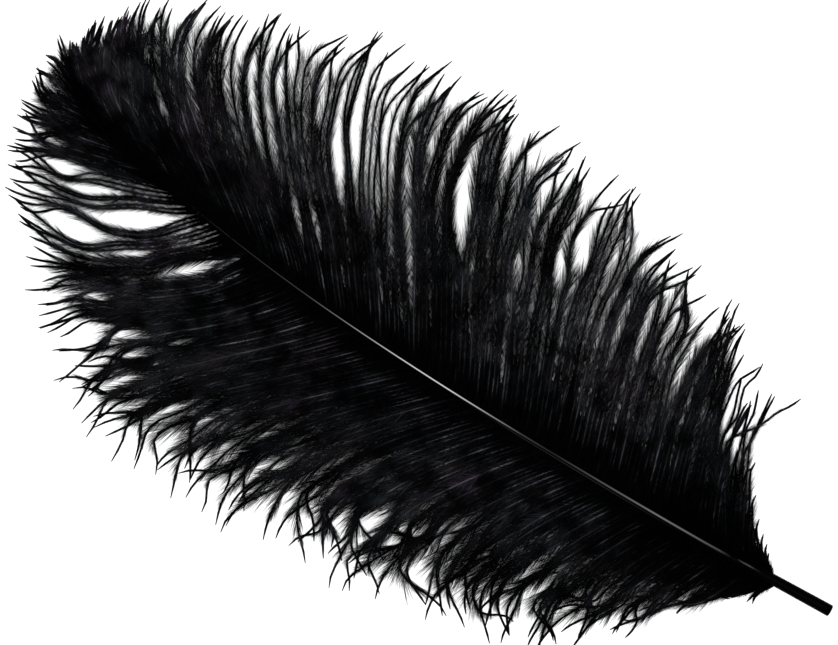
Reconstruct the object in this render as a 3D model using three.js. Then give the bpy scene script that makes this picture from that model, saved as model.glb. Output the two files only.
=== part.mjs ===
// Ostrich plume, lying with the rounded back of its shaft up.
// It rests on the cut end of the quill, on its drooping tip and on the ends of its barbs.
// Millimetres. +X runs from the cut end to the tip, +Y towards the left vane, +Z up.

import * as THREE from "three";

// Shaft: x, y and z of its middle line, from the cut end to the tip.
const SHAFT_LINE = [
  [0, 0, 2.0],
  [22, 3, 5.0],
  [45, 6.3, 8.5],
  [95, 11.6, 14.5],
  [145, 15.9, 17.5],
  [195, 18.1, 16.5],
  [240, 17.0, 12.5],
  [270, 13.9, 8.5],
  [287, 9.0, 5.5],
  [298, 0.8, 2.6],
];
// Shaft: x and half width.
const SHAFT_RADIUS = [
  [0, 1.9],
  [22, 1.75],
  [45, 1.4],
  [95, 1.1],
  [145, 0.85],
  [195, 0.62],
  [240, 0.45],
  [270, 0.34],
  [287, 0.28],
  [298, 0.2],
];
const SHAFT_RINGS = 34;
const SHAFT_SIDES = 16;
const BORE_RADIUS = 1.25; // the quill is a hollow tube at its cut end
const BORE_DEPTH = 13;
const GROOVE_START = 26; // the furrow under the shaft starts behind the first barbs
const GROOVE_DEPTH = 0.35; // as a share of the half width

// Barbs: where they leave the shaft, their heading there, where they end, their heading there.
// Headings are degrees from +X.
const RIGHT_FIELD = [
  [20, -45, 27, -3, -50],
  [29, -55, 44, -20, -60],
  [36, -60, 58, -40, -70],
  [62, -66, 80, -56, -84],
  [95, -66, 118, -67, -84],
  [128, -60, 167, -73, -90],
  [166, -52, 216, -63, -86],
  [200, -39, 258, -43, -82],
  [226, -26, 284, -26, -80],
  [262, -18, 297, -9, -66],
  [289, -40, 301, -5, -50],
];
const LEFT_FIELD = [
  [19, 66, 23, 12, 86],
  [26, 60, 37, 27, 66],
  [39, 68, 52, 48, 80],
  [68, 62, 78, 68, 118],
  [97, 56, 117, 81, 118],
  [125, 52, 154, 86, 110],
  [152, 52, 196, 90, 94],
  [180, 58, 232, 88, 70],
  [208, 66, 257, 68, 40],
  [228, 56, 281, 48, 12],
  [246, 26, 293, 36, 22],
  [268, 14, 299, 22, 6],
  [289, -20, 303, 3, -36],
];
const START_PULL = 0.4; // how far each heading is held, as a share of the barb's span
const END_PULL = 0.3;
const LIFT = 4.5; // barbs rise above a straight slope to the ground by this much
const DROOP = 2.2; // higher keeps them up longer before they bend down
const TIP_HEIGHT = 0.12;

// Locks: barbs that cling together in a blade with one point.
const LOCKS = 40; // on each side
const ROWS = [0, 0.1, 0.2, 0.3, 0.4, 0.5, 0.6, 0.68, 0.76, 0.84, 0.92, 1];
const ROOT_THICK = 1.1;
const MID_THICK = 2.1;
const END_THICK = 0.8;
const SEAM_THICK = 0.5; // thickness where two locks join, as a share of the ridge
const OPENS = [0.7, 0.86]; // neighbours part somewhere between these shares of a barb
const TAPER_START = 0.58; // a lock keeps its width up to here
const TAPER = 0.72; // under 1 keeps a lock full before its point
const SLIT = 0.05; // share of a lock's width left open beside a deep parting
const CLEARANCE = 0.35; // between a vane and the shaft
// Partings: place along the shaft, share of the barb's length where it opens and where it is widest, half width.
const RIGHT_PARTINGS = [
  [34, 0.4, 0.6, 1.6],
  [45, 0.5, 0.75, 1.8],
  [59, 0.5, 0.68, 0.8],
  [67, 0.4, 0.6, 1.0],
  [83, 0.6, 0.74, 0.9],
  [104, 0.5, 0.72, 1.5],
  [119, 0.4, 0.68, 0.9],
  [136.3, 0.3, 0.6, 1.9],
  [147, 0.6, 0.75, 0.8],
  [166, 0.3, 0.6, 1.2],
  [187, 0.5, 0.75, 1.4],
  [217, 0.4, 0.6, 0.6],
  [223.5, 0.6, 0.74, 1.6],
];
const LEFT_PARTINGS = [
  [42, 0.6, 0.8, 1.2],
  [56, 0.5, 0.75, 1.8],
  [64, 0.6, 0.75, 0.8],
  [92, 0.5, 0.7, 0.7],
  [100, 0.5, 0.65, 1.0],
  [108, 0.5, 0.75, 1.8],
  [115, 0.6, 0.8, 1.4],
  [135, 0.6, 0.78, 1.2],
  [149, 0.6, 0.72, 0.9],
  [188, 0.5, 0.68, 1.5],
  [195, 0.6, 0.8, 1.0],
  [209, 0.6, 0.78, 1.4],
  [216, 0.1, 0.3, 1.5],
  [229.5, 0.4, 0.72, 3.6],
  [234, 0.1, 0.45, 1.8],
  [241, 0.5, 0.7, 1.0],
  [246, 0.5, 0.75, 1.8],
  [256, 0.5, 0.7, 1.8],
  [281, 0.6, 0.85, 1.6],
];
const PARTING_REACH = 8; // how quickly the spread fades along the shaft
const RIGHT_UNREST = 0.5; // how far lock ends stray, as a share of their spacing
const LEFT_UNREST = 0.9;

const clamp = (v, a, b) => Math.min(b, Math.max(a, v));
const mix = (a, b, s) => a + (b - a) * s;
const smooth = (v) => v * v * (3 - 2 * v);
const radians = (d) => (d * Math.PI) / 180;

// Column c of a table at x, on straight lines between its rows.
function lookUp(table, x, c) {
  let i = 0;
  while (i < table.length - 2 && x > table[i + 1][0]) i++;
  const [a, b] = [table[i], table[i + 1]];
  return mix(a[c], b[c], clamp((x - a[0]) / (b[0] - a[0]), 0, 1));
}

// Column c of a table at x, on a smooth curve through its rows.
function curveUp(table, x, c) {
  const last = table.length - 1;
  let i = 0;
  while (i < last - 1 && x > table[i + 1][0]) i++;
  const slope = (k) => {
    const [p, q] = [table[Math.max(k - 1, 0)], table[Math.min(k + 1, last)]];
    return (q[c] - p[c]) / (q[0] - p[0]);
  };
  const [a, b] = [table[i], table[i + 1]];
  const w = b[0] - a[0];
  const s = (x - a[0]) / w;
  return (
    (2 * s ** 3 - 3 * s ** 2 + 1) * a[c] +
    (s ** 3 - 2 * s ** 2 + s) * w * slope(i) +
    (3 * s ** 2 - 2 * s ** 3) * b[c] +
    (s ** 3 - s ** 2) * w * slope(i + 1)
  );
}

// Middle line of the shaft, the direction along it seen from above, and its half width.
function shaftAt(x) {
  const at = new THREE.Vector3(x, curveUp(SHAFT_LINE, x, 1), curveUp(SHAFT_LINE, x, 2));
  const step = 0.5;
  const before = curveUp(SHAFT_LINE, x - step, 1);
  const after = curveUp(SHAFT_LINE, x + step, 1);
  const along = new THREE.Vector2(2 * step, after - before).normalize();
  return { at, along, radius: lookUp(SHAFT_RADIUS, x, 1) };
}

// A repeatable stray number from -1 to 1.
function stray(...keys) {
  const s = Math.sin(keys.reduce((sum, k, i) => sum + k * (12.9898 + 65.3 * i), 4.7));
  return 2 * (s * 43758.5453 - Math.floor(s * 43758.5453)) - 1;
}

// Turns a mesh's faces outwards and gives them flat shading.
function finish(name, points, faces, material) {
  let volume = 0;
  for (const [a, b, c] of faces)
    volume += points[a].dot(points[b].clone().cross(points[c]));
  const turned = volume < 0 ? faces.map(([a, b, c]) => [a, c, b]) : faces;
  const geometry = new THREE.BufferGeometry();
  geometry.setAttribute(
    "position",
    new THREE.Float32BufferAttribute(points.flatMap((p) => p.toArray()), 3),
  );
  geometry.setIndex(turned.flat());
  geometry.computeVertexNormals();
  const mesh = new THREE.Mesh(geometry, material);
  mesh.name = name;
  return mesh;
}

// The shaft: rings along its middle line, with a furrow underneath, and a bore in the cut end.
function makeShaft() {
  const points = [];
  const faces = [];
  const rings = [];
  const first = SHAFT_LINE[0][0];
  const length = SHAFT_LINE.at(-1)[0] - first;

  const ring = (x, radiusOf) => {
    const { at, along } = shaftAt(x);
    const up = curveUp(SHAFT_LINE, x + 0.5, 2) - curveUp(SHAFT_LINE, x - 0.5, 2);
    const forward = new THREE.Vector3(along.x, along.y, up).normalize();
    const side = new THREE.Vector3(-along.y, along.x, 0);
    const top = new THREE.Vector3().crossVectors(forward, side);
    const ids = [];
    for (let k = 0; k < SHAFT_SIDES; k++) {
      const turn = (2 * Math.PI * k) / SHAFT_SIDES;
      const r = radiusOf(turn);
      ids.push(points.length);
      points.push(
        at
          .clone()
          .addScaledVector(side, r * Math.cos(turn))
          .addScaledVector(top, r * Math.sin(turn)),
      );
    }
    rings.push(ids);
  };
  const outer = (x) => {
    const { radius } = shaftAt(x);
    const furrow = GROOVE_DEPTH * smooth(clamp((x - GROOVE_START) / 20, 0, 1));
    ring(x, (turn) => {
      const below = Math.max(0, -Math.sin(turn));
      return radius * (1 - furrow * below ** 6);
    });
  };

  // from the bottom of the bore out to the cut end, then along the outside to the tip
  ring(first + BORE_DEPTH, () => BORE_RADIUS * 0.55);
  ring(first + BORE_DEPTH - 2, () => BORE_RADIUS);
  ring(first, () => BORE_RADIUS);
  for (let i = 0; i <= SHAFT_RINGS; i++)
    outer(first + length * (i / SHAFT_RINGS) ** 0.92);

  for (let i = 0; i < rings.length - 1; i++)
    for (let k = 0; k < SHAFT_SIDES; k++) {
      const n = (k + 1) % SHAFT_SIDES;
      faces.push([rings[i][k], rings[i][n], rings[i + 1][n]]);
      faces.push([rings[i][k], rings[i + 1][n], rings[i + 1][k]]);
    }
  for (let k = 1; k < SHAFT_SIDES - 1; k++) {
    const [head, tail] = [rings[0], rings.at(-1)];
    faces.push([head[0], head[k + 1], head[k]]);
    faces.push([tail[0], tail[k], tail[k + 1]]);
  }
  return finish("shaft", points, faces, HORN);
}

// How far a parting pushes the barb that starts at u, a share t along it.
function spread(partings, u, t) {
  let push = 0;
  for (const [at, opens, widest, half] of partings) {
    const far = Math.abs(u - at) / PARTING_REACH;
    const before = smooth(clamp((t - opens) / (widest - opens), 0, 1));
    const after = 1 - 0.75 * smooth(clamp((t - widest) / 0.25, 0, 1));
    push += half * Math.sign(u - at) * Math.exp(-far) * before * after;
  }
  return push;
}

// A point of the vane: u is where its barb leaves the shaft, t the share of the way along it.
function barbPoint(side, field, u, t) {
  const start = shaftAt(u);
  const root = new THREE.Vector2(start.at.x, start.at.y).add(
    new THREE.Vector2(-start.along.y, start.along.x).multiplyScalar(
      side * (start.radius + CLEARANCE),
    ),
  );
  const end = new THREE.Vector2(lookUp(field, u, 2), lookUp(field, u, 3));
  const span = root.distanceTo(end);
  const heading = (c) =>
    new THREE.Vector2(Math.cos(radians(lookUp(field, u, c))), Math.sin(radians(lookUp(field, u, c))));
  const near = root.clone().addScaledVector(heading(1), START_PULL * span);
  const far = end.clone().addScaledVector(heading(4), -END_PULL * span);
  const flat = new THREE.CubicBezierCurve(root, near, far, end).getPoint(t);
  const fall = Math.min(t, 1) ** DROOP;
  const lift = LIFT * Math.min(1, span / 50) * Math.sin(Math.PI * Math.min(t, 1));
  return new THREE.Vector3(
    flat.x,
    flat.y,
    (start.at.z + lift) * (1 - fall) + TIP_HEIGHT * fall,
  );
}

// One vane: locks side by side, joined along seams up to where each pair parts.
function makeVane(name, side, field, partings, unrest, seed) {
  const first = field[0][0];
  const width = (field.at(-1)[0] - first) / LOCKS;
  const seams = Array.from({ length: LOCKS + 1 }, (_, j) => first + width * j);
  const opens = seams.map((_, j) => mix(...OPENS, (stray(j, seed) + 1) / 2));
  for (const [at, open] of partings) {
    const j = clamp(Math.round((at - first) / width), 1, LOCKS - 1);
    seams[j] = at;
    opens[j] = open;
  }
  const last = ROWS.length - 1;
  // the row where a seam ends in a notch; the two outer edges are open from the root
  const notch = opens.map((open, j) =>
    j === 0 || j === LOCKS ? -1 : Math.max(1, ROWS.findLastIndex((t) => t <= open + 0.001)),
  );

  const points = [];
  const faces = [];
  const put = (u, t, thick) => {
    const at = u + spread(partings, u, t);
    const p = barbPoint(side, field, clamp(at, first, field.at(-1)[0]), t);
    p.z = Math.max(p.z, thick / 2);
    const pair = [points.length, points.length + (thick > 0 ? 1 : 0)];
    points.push(p.clone().setZ(p.z + thick / 2));
    if (thick > 0) points.push(p.clone().setZ(p.z - thick / 2));
    return pair; // upper and lower point, the same one where the thickness is nothing
  };
  const thickAt = (t) =>
    t < 0.15 ? mix(ROOT_THICK, MID_THICK, t / 0.15) : mix(MID_THICK, END_THICK, (t - 0.15) / 0.85);

  // points on the seams, as far as the notch
  const seamPoints = seams.map((u, j) =>
    ROWS.map((t, k) => {
      if (k > notch[j]) return null;
      return put(u, t, k === notch[j] ? 0 : k === 0 ? ROOT_THICK : thickAt(t) * SEAM_THICK);
    }),
  );
  const quad = (a, b, c, d) => {
    for (const f of [[a, b, c], [a, c, d]])
      if (new Set(f).size === 3) faces.push(f);
  };
  for (let j = 0; j < LOCKS; j++) {
    const middle = (seams[j] + seams[j + 1]) / 2;
    const wander = unrest * width * 0.5 * stray(j, seed, 1);
    const longer = 0.05 * stray(j, seed, 2);
    // a lock's outer share strays to one side and ends sooner or later than its neighbours
    const along = (t) => {
      const s = clamp((t - 0.6) / 0.4, 0, 1) ** 2;
      return [wander * s, t + longer * s];
    };
    const rib = [];
    const edges = [[], []];
    ROWS.forEach((t, k) => {
      const [shift, reach] = along(t);
      if (k === last) {
        const tip = put(middle + shift, reach, 0);
        rib.push(tip);
        edges[0].push(tip);
        edges[1].push(tip);
        return;
      }
      rib.push(put(middle + shift, reach, k === 0 ? ROOT_THICK : thickAt(t)));
      [j, j + 1].forEach((b, e) => {
        if (k <= notch[b]) {
          edges[e].push(seamPoints[b][k]);
          return;
        }
        const s = clamp((t - TAPER_START) / (1 - TAPER_START), 0, 1);
        const narrow = (1 - SLIT) * (1 - s) ** TAPER;
        edges[e].push(put(middle + shift + (seams[b] - middle) * narrow, reach, 0));
      });
    });
    for (let k = 0; k < last; k++)
      for (const [e, face] of [[0, 1], [1, -1]]) {
        const [o, r, r2, o2] = [edges[e][k], rib[k], rib[k + 1], edges[e][k + 1]];
        if (face > 0) {
          quad(o[0], r[0], r2[0], o2[0]);
          quad(o[1], o2[1], r2[1], r[1]);
        } else {
          quad(o[0], o2[0], r2[0], r[0]);
          quad(o[1], r[1], r2[1], o2[1]);
        }
      }
    // the root, facing the shaft
    quad(edges[0][0][0], edges[0][0][1], rib[0][1], rib[0][0]);
    quad(rib[0][0], rib[0][1], edges[1][0][1], edges[1][0][0]);
  }
  return finish(name, points, faces, BARBS);
}

const HORN = new THREE.MeshStandardMaterial({ name: "horn", color: 0x141417, roughness: 0.35 });
const BARBS = new THREE.MeshStandardMaterial({ name: "barbs", color: 0x0d0e12, roughness: 0.7 });

const group = new THREE.Group();
group.add(makeShaft());
group.add(makeVane("left_vane", 1, LEFT_FIELD, LEFT_PARTINGS, LEFT_UNREST, 3));
group.add(makeVane("right_vane", -1, RIGHT_FIELD, RIGHT_PARTINGS, RIGHT_UNREST, 8));

// The origin goes under the middle of the whole feather, on the ground.
const box = new THREE.Box3().setFromObject(group);
const middle = box.getCenter(new THREE.Vector3());
for (const mesh of group.children)
  mesh.geometry.translate(-middle.x, -middle.y, -box.min.z);

export default group;
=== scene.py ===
"""Ostrich plume: a horn shaft, and barbs with barbules on both sides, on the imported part's frame.

Tables are in millimetres, in the quill's own coordinates: x from the cut end towards the tip,
y towards the left vane, z up. to_row() turns them into metres in the row frame.
"""

from types import SimpleNamespace

import bpy
import numpy as np
from bpy.props import FloatProperty, FloatVectorProperty, IntProperty, PointerProperty
from mathutils import Matrix, Vector


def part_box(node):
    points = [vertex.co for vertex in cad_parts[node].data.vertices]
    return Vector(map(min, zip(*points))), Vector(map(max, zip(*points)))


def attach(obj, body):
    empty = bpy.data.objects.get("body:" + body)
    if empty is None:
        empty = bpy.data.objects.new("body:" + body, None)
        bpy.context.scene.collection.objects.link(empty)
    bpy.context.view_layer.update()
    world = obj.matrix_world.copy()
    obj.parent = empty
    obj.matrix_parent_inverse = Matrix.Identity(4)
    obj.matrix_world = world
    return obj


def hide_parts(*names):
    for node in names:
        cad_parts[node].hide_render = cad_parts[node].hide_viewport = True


bl_info = {
    "name": "Ostrich plume",
    "version": (1, 0, 0),
    "blender": (4, 5, 0),
    "location": "3D View > Sidebar > Plume",
    "description": "Builds a lying ostrich plume with barbs and barbules, and its stage",
    "category": "Object",
}

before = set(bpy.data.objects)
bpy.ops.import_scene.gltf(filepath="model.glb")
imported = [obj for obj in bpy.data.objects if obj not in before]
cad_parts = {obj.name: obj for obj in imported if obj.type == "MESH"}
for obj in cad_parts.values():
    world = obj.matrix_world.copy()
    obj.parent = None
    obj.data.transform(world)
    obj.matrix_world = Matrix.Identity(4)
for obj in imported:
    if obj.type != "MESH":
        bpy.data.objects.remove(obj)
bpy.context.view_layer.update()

MM = 0.001
GROUND_GAP = 0.02  # least height over the ground

# Each vane has a seed of its own for its random numbers, and takes the tables below.
LEFT = SimpleNamespace(name="left", side=1, seed=11)
RIGHT = SimpleNamespace(name="right", side=-1, seed=12)


# ---- the shaft's sizes

# x, y and z of its middle line.
SHAFT_LINE = np.array([
    [0, 0, 2.0], [22, 3, 5.0], [45, 6.3, 8.5], [95, 11.6, 14.5], [145, 15.9, 17.5],
    [195, 18.1, 16.5], [240, 17.0, 12.5], [270, 13.9, 8.5], [287, 9.0, 5.5], [298, 0.8, 2.6],
])
# x and half width.
SHAFT_RADIUS = np.array([
    [0, 1.9], [22, 1.75], [45, 1.4], [95, 1.1], [145, 0.85],
    [195, 0.62], [240, 0.45], [270, 0.34], [287, 0.28], [298, 0.2],
])
SHAFT_CAD_SIDES = 16
SHAFT_RING_POWER = 0.95  # under 1: rings are a little closer towards the tip

BORE_RADIUS = 1.25
BORE_DEPTH = 13.0
BORE_TAPER = 2.0  # length over which the bottom of the bore draws in
BORE_BOTTOM = 0.55  # radius of the bottom, as a share of the bore's
LIP_WIDTH = 0.12  # the rim at the cut end is broken by this much across,
LIP_LENGTH = 0.15  # and by this much along the shaft

GROOVE_START = 26.0
GROOVE_RUN_IN = 20.0
GROOVE_DEPTH = 0.35
GROOVE_POWER = 6  # the higher, the narrower the furrow

# x, and the strength of a painted highlight along three lines: pale colour that stands in for the
# shine along the shaft.
SHAFT_HIGHLIGHT = np.array([
    [27, 0, 0, 0], [28.5, 0.08, 0, 0], [32, 0.06, 0, 0], [33.5, 0, 0, 0], [37, 0, 0, 0],
    [39.5, 0.06, 0.03, 0], [52, 0.12, 0.1, 0], [62, 0.15, 0.12, 0.01], [82, 0.07, 0.06, 0.03],
    [92, 0.04, 0.03, 0.035], [100, 0.01, 0.01, 0.03], [112, 0.04, 0.04, 0.03],
    [122, 0.22, 0.16, 0.01], [138, 0.72, 0.48, 0], [152, 0.72, 0.46, 0], [165, 0.42, 0.25, 0],
    [178, 0.18, 0.1, 0], [192, 0.05, 0.03, 0], [225, 0.02, 0, 0],
])
HIGHLIGHT_TURNS = (105, 90, 50)  # where the lines are round the shaft, in degrees from the left


# ---- the run of the barbs

# x where a barb leaves the shaft, heading there, x and y where it ends, heading there. Headings
# are degrees from +X.
RIGHT.field = np.array([
    [20, -40, 27.5, -1.5, -45], [26, -44, 38, -9.5, -52], [32, -48, 50, -23, -62],
    [39, -55, 61, -42, -76], [62, -66, 80, -56, -92], [95, -66, 118, -67, -100],
    [128, -60, 167, -73, -102], [166, -52, 216, -63, -100], [200, -39, 258, -43, -94],
    [226, -26, 284, -26, -84], [262, -18, 297, -9, -66], [292, -41, 302.8, -4.4, -45],
])
LEFT.field = np.array([
    [19, 66, 23, 12.5, 86], [26, 58, 37, 25, 46], [39, 66, 52, 48, 74],
    [68, 62, 78, 68, 118], [97, 56, 117, 81, 118], [125, 52, 154, 86, 110],
    [152, 52, 196, 90, 94], [180, 58, 232, 88, 70], [207, 66, 256, 69, 42],
    [217, 61, 269, 58.5, 8], [228, 56, 281, 48, -6], [238, 40, 288, 41.5, 8],
    [246, 26, 293, 36, 18], [268, 14, 299, 22, 6], [281, 0, 302, 9.5, -10],
    [292, -32, 303, -4.1, -41],
])
ROOT_OUT = 0.7  # how far off the middle line a barb starts, as a share of the half width
START_PULL = 0.4  # how far the first heading is held, as a share of the barb's span
END_PULL = 0.3  # how far the last heading is held
LIFT = 4.5  # of a barb's rise at mid length, before its fall is taken off
FULL_SPAN = 50.0  # shorter barbs rise less
DROOP = 2.2  # the higher, the later a barb falls
TIP_HEIGHT = 0.25

# Partings: place along the shaft, share of the barb where each opens, where it is widest, where
# it has closed again, and half its width.
RIGHT.partings = np.array([
    [34, 0.4, 0.6, 1.2, 1.6], [45, 0.5, 0.75, 1.2, 1.8], [59, 0.5, 0.66, 0.9, 0.9],
    [67, 0.36, 0.55, 0.78, 1.0], [76, 0.6, 0.75, 0.95, 1.6], [98, 0.56, 0.7, 0.9, 0.5],
    [103.5, 0.54, 0.66, 0.85, 1.4], [107.5, 0.46, 0.56, 0.7, 1.0],
    [117.5, 0.66, 0.76, 0.9, 1.0], [119.5, 0.34, 0.46, 0.58, 1.5],
    [136, 0.34, 0.54, 0.8, 2.5], [147, 0.55, 0.7, 0.9, 1.1], [152, 0.1, 0.3, 0.9, 1.1],
    [157, 0.2, 0.3, 0.45, 0.9], [161, 0.3, 0.45, 0.6, 0.7], [167, 0.4, 0.64, 0.88, 1.0],
    [171.5, 0.32, 0.5, 0.68, 1.0], [177, 0.56, 0.7, 0.88, 0.8], [182, 0.1, 0.24, 0.42, 1.1],
    [183, 0.56, 0.72, 0.88, 0.8], [187, 0.1, 0.26, 0.44, 1.2], [187.5, 0.5, 0.7, 0.95, 0.9],
    [190.5, 0.25, 0.5, 0.9, 0.9], [194.5, 0.3, 0.65, 0.95, 1.2], [200, 0.3, 0.6, 0.95, 0.8],
    [224, 0.38, 0.5, 0.7, 1.1], [236, 0.58, 0.7, 0.88, 1.2], [262, 0.8, 0.9, 1.1, 1.0],
    [281, 0.68, 0.82, 1.1, 0.6],
])
LEFT.partings = np.array([
    [42, 0.66, 0.8, 1.1, 1.5], [56, 0.56, 0.72, 0.9, 2.5], [64, 0.56, 0.66, 0.8, 1.5],
    [91.5, 0.4, 0.48, 0.58, 1.0], [98, 0.52, 0.6, 0.7, 1.4], [102, 0.6, 0.68, 0.8, 1.4],
    [107, 0.52, 0.68, 0.85, 2.9], [114, 0.62, 0.75, 0.9, 2.0], [124, 0.6, 0.72, 0.88, 1.5],
    [134, 0.58, 0.68, 0.8, 1.4], [148.5, 0.56, 0.66, 0.8, 1.2], [160, 0.62, 0.75, 0.9, 2.0],
    [179, 0.64, 0.75, 0.9, 1.2], [187, 0.4, 0.48, 0.56, 1.1], [187, 0.58, 0.66, 0.85, 2.2],
    [192.5, 0.56, 0.65, 0.8, 2.8], [196, 0.7, 0.82, 1.0, 2.8], [209.5, 0.62, 0.72, 0.86, 1.6],
    [216, 0.06, 0.24, 0.42, 2.8], [223, 0.3, 0.4, 0.52, 0.8], [229, 0.42, 0.68, 0.96, 4.4],
    [233, 0.03, 0.28, 0.62, 3.0], [240, 0.2, 0.5, 0.85, 1.3], [246, 0.4, 0.65, 0.95, 3.0],
    [256, 0.48, 0.66, 0.85, 2.6], [282.5, 0.66, 0.8, 1.1, 0.3],
])
PARTING_FADE = 6.0  # distance along the shaft over which its push drops to 1/e
PARTING_CLOSES = 0.85  # how much of its width is gone where it has closed

# How far barb ends stray along the shaft: x and spread in millimetres.
RIGHT.stray = np.array([
    [20, 2.0], [34, 4.5], [50, 4.0], [110, 3.4], [150, 2.8], [230, 2.6], [292, 2.2]])
LEFT.stray = np.array([
    [20, 2.5], [60, 4.0], [90, 5.0], [165, 4.5], [200, 3.0], [240, 2.6], [292, 2.0]])
# How much barbs' ends go their own way, and not their lock's: x and share.
RIGHT.apart = np.array([[20, 0.8], [50, 0.7], [70, 0.5], [292, 0.5]])
LEFT.apart = np.array([[20, 0.7], [60, 0.85], [190, 0.85], [215, 0.5], [292, 0.35]])
# How much of its path each barb runs: x, least and most.
RIGHT.reach = np.array([
    [20, 0.7, 1.08], [27, 0.6, 1.02], [33, 0.45, 0.92], [44, 0.6, 1.02], [50, 0.95, 1.08],
    [60, 0.98, 1.1], [71, 0.88, 1.02], [92, 0.96, 1.06], [110, 0.9, 1.03], [200, 0.92, 1.04],
    [210, 0.97, 1.06], [224, 0.98, 1.07], [264, 0.97, 1.05], [271, 0.84, 0.94],
    [276, 0.71, 0.83], [284, 0.65, 0.77], [292, 0.66, 0.82]])
LEFT.reach = np.array([
    [20, 0.68, 0.9], [36, 0.8, 1.0], [42, 0.84, 1.1], [60, 0.9, 1.1], [110, 0.9, 1.08],
    [180, 0.94, 1.08], [210, 0.96, 1.08], [245, 0.98, 1.08], [274, 0.98, 1.08],
    [292, 0.88, 1.02]])
# How the last stretch of each barb curls: x, mean and spread in degrees.
RIGHT.curl = np.array([
    [20, -8, 8], [52, -6, 7], [70, -6, 20], [120, -6, 22], [200, -2, 12], [240, 0, 10],
    [292, 0, 12]])
LEFT.curl = np.array([
    [20, 0, 7], [34, 0, 12], [50, 0, 32], [75, 4, 44], [120, 10, 44], [180, 12, 42],
    [205, 2, 14], [255, 0, 12], [266, 0, 6], [292, 0, 6]])

# Loose barbs at the base, each from its place along the shaft through points in the plan.
RIGHT.loose = (
    (38, [(58, -20), (60.2, -24.8), (59.9, -31.3), (61.7, -35.8), (63.6, -41),
          (62.7, -45.2), (63.2, -50.1)]),
    (42, [(62, -24), (65.4, -35), (66.2, -41.4), (64.5, -45.4), (63.4, -48.6)]),
    (37, [(57.8, -22.7), (56.1, -27.8), (52.6, -33.6), (50.5, -40.2), (48.2, -44.6),
          (47, -48.2)]),
    (33, [(51, -23), (52, -28.5), (52.6, -33.6), (53.5, -39.1), (54.1, -44.1)]),
    (36, [(55, -29.4), (56.3, -35.5), (59.4, -42.5)]),
    (32, [(51.7, -27.2), (53.3, -34.6), (55.3, -44.1)]),
    (31, [(43.3, -11.5), (45.8, -15.9), (47, -19.7), (46.2, -21.8)]),
    (20.5, [(25.1, -0.7), (26.2, -3.2)]), (21.5, [(27.5, -2.9), (28.4, -5.2)]),
    (23, [(29.8, -3.9), (31.2, -7)]), (24.5, [(33.9, -6.8), (35, -10)]),
    (27, [(39.6, -12.3), (40.3, -15.5)]), (29, [(46, -20), (46.6, -23.6)]),
)
LEFT.loose = (
    (36, [(47.9, 29), (51.1, 34.1), (51.6, 38.8), (50, 45.5)]),
    (28, [(34.7, 22.2), (41.3, 28), (45.5, 34.9), (47.6, 39.1), (50.4, 41)]),
    (19.5, [(21.6, 10.2), (20.9, 12.8)]), (20.5, [(22.3, 9.8), (22.7, 13.4)]),
    (20.2, [(23, 8.6), (24.6, 11.8)]), (20.8, [(24.6, 10.6), (27.4, 15.2)]),
    (21.4, [(26, 12), (29, 16.4)]), (22.2, [(27, 12.4), (30.6, 17.6)]),
    (23, [(28.4, 13.6), (32.4, 18.4)]), (24, [(30, 15.6), (34.6, 20.8)]),
    (25, [(31.4, 16.8), (37, 23)]), (26, [(33, 18), (39, 25.4)]),
    (27, [(34.6, 20), (41.2, 28.2)]),
)

# How a barb goes its own way. A span is the stretch over which something comes in or fades, in
# shares of the barb's path.
PATH_SAMPLES = 56
FINE_SAMPLES = 3 * PATH_SAMPLES  # before they are spaced evenly
ROOT_MARGINS = (0.5, 1.0)  # room left at the two ends of the field
ROOT_STRAY = 0.22  # of the distance between two roots
LOCK_SIZES = (1, 2, 3, 4, 5)
LOCK_CHANCES = (0.18, 0.32, 0.28, 0.15, 0.07)
CLING = (0.15, 0.58)  # least and most of the way to the lock's middle
GATHER_SPAN = (0.25, 0.6)
LOOSEN = 0.5  # how much of the cling is lost again
LOOSEN_SPAN = (0.7, 1.0)
REACH_POWERS = (1.6, 1.3)  # of the beta distribution between least and most reach
WANDER = 0.3  # of the stray
WANDER_SPAN = (0.35, 0.95)
HOOK_SPAN = (0.7, 1.08)
HOOK_POWER = 1.5
LAYER = 0.9  # how far barbs lie over or under the field, at most
LAYER_SPAN = (0.03, 0.3)
SWAY = 0.5  # spread of the height of the waves along a barb
SWAY_HALF_WAVES = 2.5
SWAY_PHASE = 6.0  # in radians, at most
SWAY_SPAN = (0.1, 0.5)
LEVEL_SPAN = (0.8, 1.05)  # where layer and sway fade
CURL_STRETCH = (14, 28)  # millimetres
CURL_FULL_LENGTH = 60.0  # shorter barbs curl over a shorter stretch
CURL_LIMIT = 1.7  # of a barb's leaning
CURL_SPAN = (0, 0.55)  # in shares of the curling stretch, as the next
UNCURL_SPAN = (0.5, 1)
UNCURL = 0.6  # share of the curl that is turned back


# ---- the sizes and tones of barbs and barbules

# How long the bare needles are against the usual: x and share.
RIGHT.needle = np.array([
    [20, 0.9], [34, 1.3], [50, 1.4], [60, 0.8], [80, 1.0], [200, 1.0], [214, 0.6],
    [275, 0.6], [292, 1.2]])
LEFT.needle = np.array([
    [20, 0.3], [36, 0.6], [60, 1.0], [185, 1.0], [192, 2.4], [202, 2.2], [208, 0.8],
    [255, 0.8], [270, 0.6], [292, 1.0]])
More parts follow.
